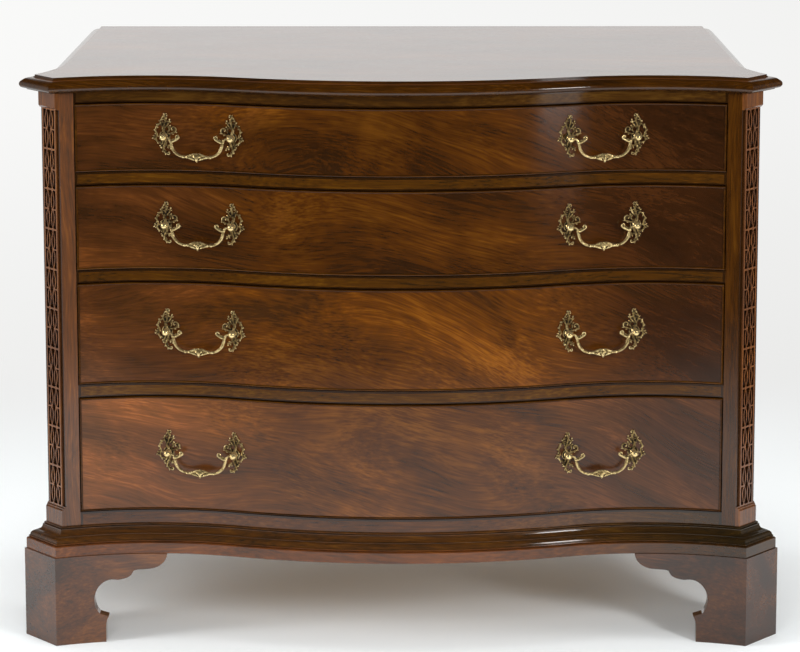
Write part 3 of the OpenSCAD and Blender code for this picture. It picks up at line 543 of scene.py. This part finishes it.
class CHEST_OT_carcase(bpy.types.Operator):
    """Finish the top, sides, posts, frets, rails, base and feet, and the plain woods inside"""

    bl_idname = "chest.carcase"
    bl_label = "Carcase"

    def posts(self):
        side_tone = (SIDE_TONE,) * 3
        sides = mahogany("mahogany_upright", "upright", 2, 0.35, 0.02, side_tone, 0.008)
        for node in ("side_left", "side_right", "post_blocks"):
            finish(node, sides)
        # The right post takes a darker tone than the left as painted shade
        for side, seed, tone, grey in (("left", 2, (1, 1, 1), 0.012), ("right", 8, (0.42, 0.45, 0.42), 0.0)):
            # The posts get painted shade on the ground behind their frets and in their narrow recesses
            layers = (partial(ground_of_fret, tone=tone), recesses)
            finish(f"post_{side}", mahogany(f"mahogany_{side}_post", "upright", seed, 0.35, 0.02, tone, grey,
                                            layers=layers))
        # The fret's lighter tone is painted light on its standing bars, and painted shade darkens its narrow
        # gaps
        fret = mahogany("mahogany_fret", "upright", 6, 0.3, 0.02, (1.25, 1.25, 1.25), 0.012,
                        layers=(recesses,))
        for node in ("fret_left", "fret_right"):
            finish(node, fret)

    def rails(self):
        # The frieze and the rails get painted shade along the gaps round the drawers
        finish("top_rail", mahogany("mahogany_frieze", "across", 3, 0.3, 0.015, (0.4, 0.54, 1.3), coat=0.5,
                                    layers=(gap_shade,)))
        rails = mahogany("mahogany_rails", "across", 3, 0.3, 0.015, (0.57, 0.69, 0.66), layers=(gap_shade,))
        for node in ("divider_upper", "divider_middle", "divider_lower"):
            finish(node, rails)
        # The sill darkens towards its right end as painted shade
        layers = (gap_shade, partial(right_end_shade, shares=(0.45, 0.65, 0.75)))
        finish("bottom_rail", mahogany("mahogany_sill", "across", 9, 0.4, 0.015, (0.66, 0.64, 0.5),
                                       layers=layers))

    def base(self):
        # The base and the feet darken towards the right end as painted shade
        layers = (partial(right_end_shade, shares=(0.35, 0.5, 0.55)),
                  partial(moulding_of_base, shares=(0.57, 0.74, 0.85)))
        finish("base_moulding", mahogany("mahogany_base", "across", 4, 0.4, 0.015, (1.05, 0.95, 0.95), 0.004,
                                         layers=layers))
        layers = (partial(right_end_shade, shares=(0.6, 0.6, 0.6)),)
        feet = mahogany("mahogany_feet", "across", 5, 1.3, 0.04, (0.72, 0.68, 0.72), 0.018, layers=layers)
        for node in ("foot_front_left", "foot_front_right", "feet_rear"):
            finish(node, feet)

    def execute(self, context):
        wood = context.scene.chest_wood
        # Painted shade on the moulded edge of the top
        layers = (partial(shaded_edge_of_top, shares=(0.4, 0.45, 0.6)),)
        finish("top_board", mahogany("mahogany_top", "across", 1, 0.3, 0.03, (0.9, 0.9, 0.9), flat_gloss=0.95,
                                     layers=layers))
        self.posts()
        self.rails()
        self.base()
        pine = plain_wood("pine", wood.pine, "across", 1)
        for node in ("back_boards", "bottom_board", "dust_boards", "foot_blocks"):
            finish(node, pine)
        oak = plain_wood("oak_runners", wood.oak, "deep", 2)
        for node in ("drawer_runners", "drawer_stops"):
            finish(node, oak)
        return {"FINISHED"}


class CHEST_OT_drawers(bpy.types.Operator):
    """Finish the drawer fronts, their cock beads and the drawer linings"""

    bl_idname = "chest.drawers"
    bl_label = "Drawers"

    def execute(self, context):
        wood = context.scene.chest_wood
        bead = mahogany("mahogany_bead", "across", 7, 0.2, 0.01, (0.4, 0.45, 0.5), coat=0.5)
        sides = plain_wood("oak_sides", wood.oak, "deep", 3)
        back = plain_wood("oak_back", wood.oak, "across", 4)
        bottom = plain_wood("pine_bottom", wood.pine, "across", 5)
        for i, tones, blur in zip(DRAWERS, TONES, COAT_BLUR):
            finish(f"drawer_front_{i}", veneer(f"mahogany_front_{i}", 10 + i, tones, blur))
            finish(f"cock_bead_{i}", bead)
            finish(f"drawer_sides_{i}", sides)
            finish(f"drawer_back_{i}", back)
            finish(f"drawer_bottom_{i}", bottom)
        return {"FINISHED"}


def front_y(x):
    """Where the drawer fronts lie on the Y axis, at a distance to either side of the middle"""
    x = abs(x)
    if x < BOW_R * math.sin(SWAY):
        return BOW_R - math.sqrt(BOW_R ** 2 - x * x) - MIDDLE
    return HOLLOW_Y + math.sqrt(HOLLOW_R ** 2 - (x - HOLLOW_X) ** 2) - MIDDLE


def front_angle(x):
    """The turn of the drawer fronts at a distance to the right of the middle, within the hollow"""
    return math.atan((HOLLOW_X - x) / (front_y(x) + MIDDLE - HOLLOW_Y))


def flowing(points, steps=5):
    """A smooth line through points, with so many steps between one and the next"""
    c = np.array(points, float)
    before = np.vstack([2 * c[0] - c[1], c[:-2], c[-2:-1]])[:len(c) - 1]
    after = np.vstack([c[2:], 2 * c[-1] - c[-2]])
    out = []
    for p, q, r, s in zip(before, c[:-1], c[1:], after):
        for u in np.arange(steps) / steps:
            out.append((2 * q + (r - p) * u + (2 * p - 5 * q + 4 * r - s) * u ** 2
                        + (3 * q - p - 3 * r + s) * u ** 3) / 2)
    out.append(c[-1])
    return np.array(out)


def bar(bm, line, radii, depth=1.0, sides=10):
    """A round or flattened bar along a line that keeps to the front plane, with rounded ends"""
    line = np.asarray(line, float)
    radii = np.interp(np.linspace(0, 1, len(line)), np.linspace(0, 1, len(radii)), radii)
    heading = np.gradient(line, axis=0)
    heading /= np.linalg.norm(heading, axis=1)[:, None]
    side = np.cross(heading, (0, 1, 0))
    side /= np.linalg.norm(side, axis=1)[:, None]
    # The two rings of a rounded end: how far in from its tip, and how wide, as shares of the radius
    caps = ((0.0, 0.35), (0.5, 0.86))
    rings = [(line[0] - heading[0] * radii[0] * (1 - inward), side[0], radii[0] * width)
             for inward, width in caps]
    rings += list(zip(line, side, radii))
    rings += [(line[-1] + heading[-1] * radii[-1] * (1 - inward), side[-1], radii[-1] * width)
              for inward, width in reversed(caps)]
    turns = np.arange(sides) * 2 * math.pi / sides
    grid = []
    for middle, across, radius in rings:
        grid.append([bm.verts.new(middle + across * radius * math.cos(turn)
                                  + np.array((0, 1, 0)) * radius * depth * math.sin(turn)) for turn in turns])
    for low, high in zip(grid, grid[1:]):
        for k in range(sides):
            bm.faces.new((low[k], low[k - 1], high[k - 1], high[k]))
    bm.faces.new(grid[0])
    bm.faces.new(reversed(grid[-1]))


def leaves(bm, line, where, hand, length, radius, depth=0.8):
    """Small leaves that spring from one side of a line and curl along it"""
    heading = np.gradient(line, axis=0)
    for share in where:
        k = round(share * (len(line) - 1))
        forward = heading[k] / np.linalg.norm(heading[k])
        out = hand * np.cross(forward, (0, 1, 0))
        start = line[k]
        tip = start + out * length + forward * length * 0.5
        bend = start + out * length * 0.62
        bar(bm, flowing((start, bend, tip), 3), (radius, radius * 1.15, radius * 0.5), depth, 8)


def cast(name, bm, grid, faces):
    """One casting from overlapping bars: remeshed, thinned out, and smooth"""
    mesh = bpy.data.meshes.new(name)
    bmesh.ops.recalc_face_normals(bm, faces=bm.faces)
    bm.to_mesh(mesh)
    bm.free()
    rough = bpy.data.objects.new(name, mesh)
    bpy.context.scene.collection.objects.link(rough)
    remesh = rough.modifiers.new("remesh", "REMESH")
    remesh.mode = "VOXEL"
    remesh.voxel_size = grid
    soft = rough.modifiers.new("soft", "SMOOTH")
    soft.factor = 0.5
    soft.iterations = 2
    cut = rough.modifiers.new("cut", "DECIMATE")
    graph = bpy.context.evaluated_depsgraph_get()
    count = len(rough.evaluated_get(graph).data.loop_triangles)
    cut.ratio = min(1, faces / max(1, count))
    graph.update()
    graph = bpy.context.evaluated_depsgraph_get()
    made = bpy.data.meshes.new_from_object(rough.evaluated_get(graph))
    made.name = name
    bpy.data.objects.remove(rough)
    bpy.data.meshes.remove(mesh)
    # A face that the thinning doubled is left alone once its double is gone
    made.validate()
    clean = bmesh.new()
    clean.from_mesh(made)
    alone = [face for face in clean.faces if all(edge.is_boundary for edge in face.edges)]
    bmesh.ops.delete(clean, geom=alone, context="FACES")
    clean.to_mesh(made)
    clean.free()
    made.shade_smooth()
    return made


def piece(name, parts, material):
    """An object made of copies of meshes that are sized and placed in millimetres"""
    bm = bmesh.new()
    for mesh, place in parts:
        copy = mesh.copy()
        copy.transform(place)
        if place.is_negative:
            copy.flip_normals()
        bm.from_mesh(copy)
        bpy.data.meshes.remove(copy)
    bmesh.ops.scale(bm, vec=(MM, MM, MM), verts=bm.verts)
    mesh = bpy.data.meshes.new(name)
    bm.to_mesh(mesh)
    bm.free()
    mesh.shade_smooth()
    mesh.materials.append(material)
    made = bpy.data.objects.new(name, mesh)
    bpy.context.scene.collection.objects.link(made)
    return made


# Lines of a back plate, with x away from the bail: points, width at both ends, and the leaves on each side
PLATE_LINES = (
    (((0, 4), (2.2, 11), (0.6, 18), (-1.2, 25), (0.8, 30.5), (-1.6, 33.6), (-3.4, 31.4)), (5, 4.2, 3.4, 2),
     (0.3, 0.42, 0.54, 0.66), (0.36, 0.5, 0.62, 0.74)),
    (((1.4, 12), (5.2, 17.6), (5.8, 23.4), (3.2, 28.6)), (3, 2.6, 1.6), (0.45, 0.8), (0.6,)),
    (((1.2, 12.5), (-3.5, 16.5), (-6.2, 21), (-7.4, 25)), (3, 2.8, 1.8), (0.75,), (0.4, 0.7)),
    (((0.8, 17.5), (7, 18.6), (12, 14.6), (13.8, 8.4), (11.8, 2), (13.4, -4), (10, -8.8), (3, -9)),
     (2.8, 2.6, 3, 2.4), (0.22, 0.4, 0.5, 0.72, 0.86), (0.3, 0.6)),
    (((12, 0.6), (15.2, -1), (18, -3.2)), (2.8, 1.4), (0.5,), (0.7,)),
    (((-3.5, 3.5), (-10, 4.4), (-15.6, 6.8), (-16, 11), (-12.6, 13.4), (-9.8, 11.2), (-11.4, 9)),
     (3, 3, 2.6, 1.8), (0.2, 0.34), (0.3, 0.45, 0.6)),
    (((-4, 5), (-6.6, 9.6), (-5.8, 13.8), (-8, 15.6)), (2.8, 1.6), (0.5,), (0.7,)),
    (((2, -5), (4.4, -11), (5.4, -16.6)), (3.6, 3, 2), (0.5, 0.8), (0.4, 0.75)),
    (((-2, -5), (-1, -11), (1.8, -17), (1.8, -22), (-1.6, -26), (-6.2, -27.4), (-7, -24.8)),
     (4.4, 3.8, 3, 1.8), (0.35, 0.5, 0.66), (0.42, 0.58, 0.74)),
    (((-0.6, -12.4), (-4.8, -15), (-8.6, -18.4)), (3, 2.4, 1.4), (0.6,), (0.5, 0.85)))
# Knobs of a back plate: x, z and radius
PLATE_KNOBS = ((14.6, 9, 1.6), (18.2, -3.4, 1.2), (-10.6, 9.6, 1.5), (-8.2, 15.8, 1.3), (-7.4, 25.2, 1.4),
               (5.4, -17.2, 1.7), (-6.6, -24.6, 1.3), (-8.9, -18.8, 1.5), (-2.9, 31, 1.4), (2.8, 29.4, 1.3))
# Radius of the ring round the post, in the middle of a back plate
RING_R = 7.7
# Half of a bail, from the pin in the ball to the middle of the grip, in millimetres from the middle
NECK = ((48, 0), (43.4, -0.9), (40.2, -4.4), (38.6, -11), (36, -18.4), (30.4, -24.6), (23, -28), (14, GRIP_Z),
        (0, GRIP_Z))
NECK_SIZES = (1.5, 1.6, 1.9, 2.3, 2.3, 2.1, 1.8, 1.5, 2.2)
CURL = ((40.4, -5.6), (36.4, -5.4), (31.6, -3), (28, -0.6), (27.6, 2.2), (30, 3.4), (31.8, 1.8))
CURL_SIZES = (2.2, 2, 1.8, 1.5, 1.2, 1)
# Leaves on each half of the grip: distance from its middle, how far they reach up and down, and thickness
GRIP_LEAVES = ((11.4, 2.8, -2.2, 1.5), (8.6, 4.2, -3.4, 1.7), (5.6, 5, -4.4, 1.8))
# Beads on each half of the grip: distance from its middle and radius
GRIP_BEADS = ((14.8, 2.6), (18, 2.1), (20.6, 2.5))


def knob(bm, x, z, radius, y=0.0):
    place = Matrix.Translation((x, y, z)) @ Matrix.Diagonal((radius, radius, radius, 1))
    bmesh.ops.create_icosphere(bm, subdivisions=2, radius=1, matrix=place)


def plate_mesh():
    """A pierced back plate of scrolls and leaves, with a ring round the post"""
    bm = bmesh.new()
    for points, widths, left, right in PLATE_LINES:
        line = flowing([(x, -1.0, z) for x, z in points])
        bar(bm, line, [w / 2 for w in widths], 0.85)
        leaves(bm, line, left, 1, 2.9, 0.78)
        leaves(bm, line, right, -1, 2.9, 0.78)
    for x, z, radius in PLATE_KNOBS:
        knob(bm, x, z, radius, -1.0)
    ring = [(RING_R * math.cos(k * math.pi / 12), -1.1, RING_R * math.sin(k * math.pi / 12))
            for k in range(25)]
    bar(bm, ring, (0.75, 0.75), 0.9)
    disc = Matrix.Translation((0, -0.5, 0)) @ Matrix.Rotation(math.pi / 2, 4, "X")
    bmesh.ops.create_cone(bm, cap_ends=True, segments=32, radius1=7.8, radius2=7.8, depth=0.9, matrix=disc)
    return cast("plate", bm, 0.42, 5200)


def bail_mesh():
    """A swan neck bail: leaf scrolls at its ends and a shell between leaves in the middle of the grip"""
    bm = bmesh.new()
    for hand in (-1, 1):
        neck = flowing([(hand * x, 0, z) for x, z in NECK])
        bar(bm, neck, NECK_SIZES, 1.0, 14)
        curl = flowing([(hand * x, 0, z) for x, z in CURL])
        bar(bm, curl, CURL_SIZES, 1.1)
        leaves(bm, curl, (0.12, 0.24, 0.36, 0.5), -hand, 3.2, 1.0, 1.1)
        leaves(bm, curl, (0.3, 0.55), hand, 1.8, 0.9, 1.1)
        for x, up, down, size in GRIP_LEAVES:
            for end in (up, down):
                line = [(hand * (x + 2.8), 0, GRIP_Z), (hand * x, -0.6, GRIP_Z + end * 0.7),
                        (hand * (x - 2.2), -0.8, GRIP_Z + end)]
                bar(bm, flowing(line, 3), (size, size, size * 0.6), 1.1, 8)
        for x, size in GRIP_BEADS:
            knob(bm, hand * x, GRIP_Z, size)
    for turn in range(-4, 5):
        out = math.radians(turn * 22)
        tip = (6 * math.sin(out), -1.6, GRIP_Z + 5.6 * math.cos(out) * (1 if turn % 2 == 0 else 0.9))
        rib = ((0, -1.2, GRIP_Z - 4), (3 * math.sin(out), -2.6, GRIP_Z), tip)
        bar(bm, flowing(rib, 3), (1.3, 1.5, 1), 1.0, 8)
    drop = ((0, -1.5, GRIP_Z), (0, -2.2, GRIP_Z - 4), (0, -1.2, GRIP_Z - 7.4))
    bar(bm, flowing(drop, 3), (3.2, 2.6, 1.1), 1.0, 10)
    knob(bm, 0, GRIP_Z, 4.2)
    return cast("bail", bm, 0.45, 9000)


def ball_mesh():
    """The turned ball that a bail hangs in, with a collar behind it"""
    bm = bmesh.new()
    around = [k * math.pi / 12 for k in range(24)]
    profile = [(2.3, BALL_R + 2.2), (3.3, BALL_R + 1.6), (3.3, BALL_R + 0.6), (2.5, BALL_R)]
    profile += [(BALL_R * math.sin(turn), BALL_R * math.cos(turn)) for turn in np.linspace(0.5, 3.0, 14)]
    rings = [[bm.verts.new((radius * math.cos(turn), y, radius * math.sin(turn))) for turn in around]
             for radius, y in profile]
    for low, high in zip(rings, rings[1:]):
        for k in range(len(around)):
            bm.faces.new((low[k], low[k - 1], high[k - 1], high[k]))
    bm.faces.new(rings[0])
    bm.faces.new(reversed(rings[-1]))
    bmesh.ops.recalc_face_normals(bm, faces=bm.faces)
    mesh = bpy.data.meshes.new("ball")
    bm.to_mesh(mesh)
    bm.free()
    return mesh


class CHEST_OT_handles(bpy.types.Operator):
    """Make the rococo back plates, the swan neck bails and the balls of their posts"""

    bl_idname = "chest.handles"
    bl_label = "Handles"

    def plates(self, i, plate, brass):
        """The four back plates of a drawer, which follow its curved front"""
        parts = []
        for end in (-1, 1):
            x = HANDLE_X + end * HANDLE_HALF
            seat = Matrix.Translation((x, front_y(x), HANDLE_Z[i - 1]))
            seat = seat @ Matrix.Rotation(front_angle(x), 4, "Z")
            seat = seat @ Matrix.Translation((0, -PLATE_SEAT, 0)) @ Matrix.Diagonal((end, 1, 1, 1))
            parts += [(plate, seat), (plate, MIRROR @ seat)]
        made = piece(f"back_plates_{i}", parts, brass)
        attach(made, f"drawer_{i}")
        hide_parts(f"handle_plates_{i}")

    def bails(self, i, place, bail, brass):
        for side, hand in SIDES:
            made = piece(f"swan_neck_{side}_{i}", [(bail, place if hand > 0 else MIRROR @ place)], brass)
            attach(made, f"bail_{side}_{i}")
            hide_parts(f"bail_{side}_{i}")

    def balls(self, i, place, swing, ball, brass):
        """The four balls of a drawer, at the ends of the lines on which its bails turn"""
        ends = [place @ Matrix.Translation((end * HANDLE_HALF / math.cos(swing), 0, 0)) for end in (-1, 1)]
        made = piece(f"balls_{i}", [(ball, hand @ end) for end in ends for hand in (Matrix(), MIRROR)], brass)
        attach(made, f"drawer_{i}")

    def execute(self, context):
        plate_brass = old_brass("brass_plates", 0.38)
        bail_brass = old_brass("brass_bails", 0.7)
        post_brass = old_brass("brass_posts", 1.0)
        plate = plate_mesh()
        bail = bail_mesh()
        ball = ball_mesh()
        inner = front_y(HANDLE_X - HANDLE_HALF)
        outer = front_y(HANDLE_X + HANDLE_HALF)
        swing = math.atan((outer - inner) / (2 * HANDLE_HALF))
        for i in DRAWERS:
            place = Matrix.Translation((HANDLE_X, (inner + outer) / 2, HANDLE_Z[i - 1]))
            place = place @ Matrix.Rotation(swing, 4, "Z") @ Matrix.Translation((0, -BAIL_OFF, 0))
            self.plates(i, plate, plate_brass)
            self.bails(i, place, bail, bail_brass)
            self.balls(i, place, swing, ball, post_brass)
            finish(f"handle_posts_{i}", post_brass)
        return {"FINISHED"}


def lamp(name, place, target, size, power):
    """A soft rectangular lamp that looks at a point"""
    data = bpy.data.lights.new(name, "AREA")
    data.shape = "RECTANGLE"
    data.size, data.size_y = size
    data.energy = power
    made = bpy.data.objects.new(name, data)
    made.location = place
    made.rotation_mode = "QUATERNION"
    made.rotation_quaternion = (Vector(target) - Vector(place)).to_track_quat("-Z", "Y")
    bpy.context.scene.collection.objects.link(made)
    return made


class CHEST_OT_stage(bpy.types.Operator):
    """Make the floor, the world, the lamps and the camera"""

    bl_idname = "chest.stage"
    bl_label = "Stage"

    def surroundings(self, s, heading):
        """What the polish and the brass reflect: white behind, grey on the left, dark in front"""
        across, depth, _ = s.axes(heading)
        behind = s.mask(depth, 0.1, 0.55)
        behind = s.math("MULTIPLY", behind, s.math("MULTIPLY_ADD", across, -0.3, 1))
        left = s.math("MULTIPLY", s.mask(across, -0.62, -0.95), 0.6)
        return s.math("MULTIPLY_ADD", s.math("MAXIMUM", behind, left), 0.95, 0.03)

    def floor(self, stage):
        """A white floor that takes the shadow of the chest and runs into the white backdrop"""
        mesh = bpy.data.meshes.new("floor")
        corners = [(x, y, 0) for x, y in ((-16, -16), (16, -16), (16, 16), (-16, 16))]
        mesh.from_pydata(corners, [], [(0, 1, 2, 3)])
        floor = bpy.data.objects.new("floor", mesh)
        bpy.context.scene.collection.objects.link(floor)
        s = Shader("floor")
        place = s.place()
        across, depth, _ = s.axes(place)
        ray = s.new("LightPath").outputs
        seen, mirrored = ray["Is Camera Ray"], ray["Is Glossy Ray"]
        # The backdrop, a little brighter at the back and on the left
        white = s.math("MULTIPLY_ADD", s.mask(depth, -0.6, 6), 0.1, 0.82)
        white = s.math("MULTIPLY_ADD", across, -0.022, white)
        reflected = self.surroundings(s, s.vector("NORMALIZE", place))
        strength = s.math("MULTIPLY_ADD", mirrored, reflected, s.math("MULTIPLY", seen, white))
        backdrop = s.add("Emission", stage.backdrop, strength)
        lift = s.math("MULTIPLY", seen, stage.lift)
        paper = s.set(colour=stage.floor, rough=0.9, specular=0.1, glow=(0.7, 0.92, 1), glow_strength=lift)
        mesh.materials.append(paper)
        # The floor gives way to the backdrop further out, and later still in what the polish reflects
        away = s.math("SQRT", s.vector("DOT_PRODUCT", place, place).node.outputs["Value"])
        far = s.mask(s.math("MULTIPLY_ADD", mirrored, -0.45, away), 0.75, 1.9)
        far = s.math("MULTIPLY", far, s.math("MAXIMUM", seen, mirrored))
        s.join(s.add("MixShader", far, s.surface.outputs[0], backdrop), s.output)

    def world(self, stage):
        """Even light from all sides, seen as white and reflected as the surroundings"""
        world = bpy.data.worlds.new("studio")
        bpy.context.scene.world = world
        world.use_nodes = True
        s = Nodes(world.node_tree)
        ray = s.new("LightPath").outputs
        seen, mirrored = ray["Is Camera Ray"], ray["Is Glossy Ray"]
        heading = s.new("TexCoord").outputs["Generated"]
        reflected = s.math("MULTIPLY", self.surroundings(s, heading), s.mask(s.axes(heading)[2], 0.62, 0.1))
        light = s.math("MULTIPLY", s.math("SUBTRACT", 1, mirrored), stage.ambient)
        light = s.math("MULTIPLY_ADD", mirrored, reflected, light)
        light = s.math("MULTIPLY_ADD", seen, SEEN_WHITE - stage.ambient, light)
        s.join(s.add("Background", stage.backdrop, light), s.new("OutputWorld").inputs["Surface"])

    def camera(self, stage):
        data = bpy.data.cameras.new("camera")
        data.sensor_width = 36
        data.lens = stage.lens
        data.shift_x, data.shift_y = stage.shift
        camera = bpy.data.objects.new("camera", data)
        bpy.context.scene.collection.objects.link(camera)
        place = Matrix.Translation((stage.distance * math.sin(stage.yaw),
                                    cad_low.y + NOSE - stage.distance * math.cos(stage.yaw), stage.height))
        turn = Matrix.Rotation(stage.yaw, 4, "Z") @ Matrix.Rotation(math.pi / 2 - stage.pitch, 4, "X")
        camera.matrix_world = place @ turn @ Matrix.Rotation(stage.roll, 4, "Z")
        bpy.context.scene.camera = camera

    def lamps(self):
        """Two lamps and a card that the polish reflects, and larger ones that it doesn't"""
        lamp("lamp_key", RIGHT_PLACE, LAMP_TARGET, (0.5, 0.7), 27)
        lamp("lamp_left", LEFT_PLACE, LAMP_TARGET, (0.5, 1.2), 20)
        lamp("lamp_card", (2.34, -3.06, 0.52), (0.24, -0.26, 0.75), (0.5, 0.45), 3.0)
        for name, place, size, power in FILLS:
            lamp(name, place, LAMP_TARGET, size, power).visible_glossy = False

    def execute(self, context):
        stage = context.scene.chest_stage
        self.floor(stage)
        self.world(stage)
        self.camera(stage)
        self.lamps()
        context.scene.view_settings.view_transform = "Standard"
        return {"FINISHED"}


class CHEST_PT_panel(bpy.types.Panel):
    """Lists the pieces and settings of the chest"""

    bl_idname = "CHEST_PT_panel"
    bl_label = "Serpentine Chest"
    bl_space_type = "VIEW_3D"
    bl_region_type = "UI"
    bl_category = "Chest"

    def draw(self, context):
        for operator in OPERATORS:
            self.layout.operator(operator.bl_idname)
        for group in (context.scene.chest_wood, context.scene.chest_brass, context.scene.chest_stage):
            box = self.layout.box()
            for name in group.__annotations__:
                box.prop(group, name)


GROUPS = {"chest_wood": WoodSettings, "chest_brass": BrassSettings, "chest_stage": StageSettings}
OPERATORS = (CHEST_OT_carcase, CHEST_OT_drawers, CHEST_OT_handles, CHEST_OT_stage)
CLASSES = (*GROUPS.values(), *OPERATORS, CHEST_PT_panel)


def register():
    for kind in CLASSES:
        bpy.utils.register_class(kind)
    for name, group in GROUPS.items():
        setattr(bpy.types.Scene, name, PointerProperty(type=group))


def unregister():
    for name in GROUPS:
        delattr(bpy.types.Scene, name)
    for kind in reversed(CLASSES):
        bpy.utils.unregister_class(kind)


def main():
    register()
    bpy.ops.chest.carcase()
    bpy.ops.chest.drawers()
    bpy.ops.chest.handles()
    bpy.ops.chest.stage()


if __name__ == "__main__":
    main()
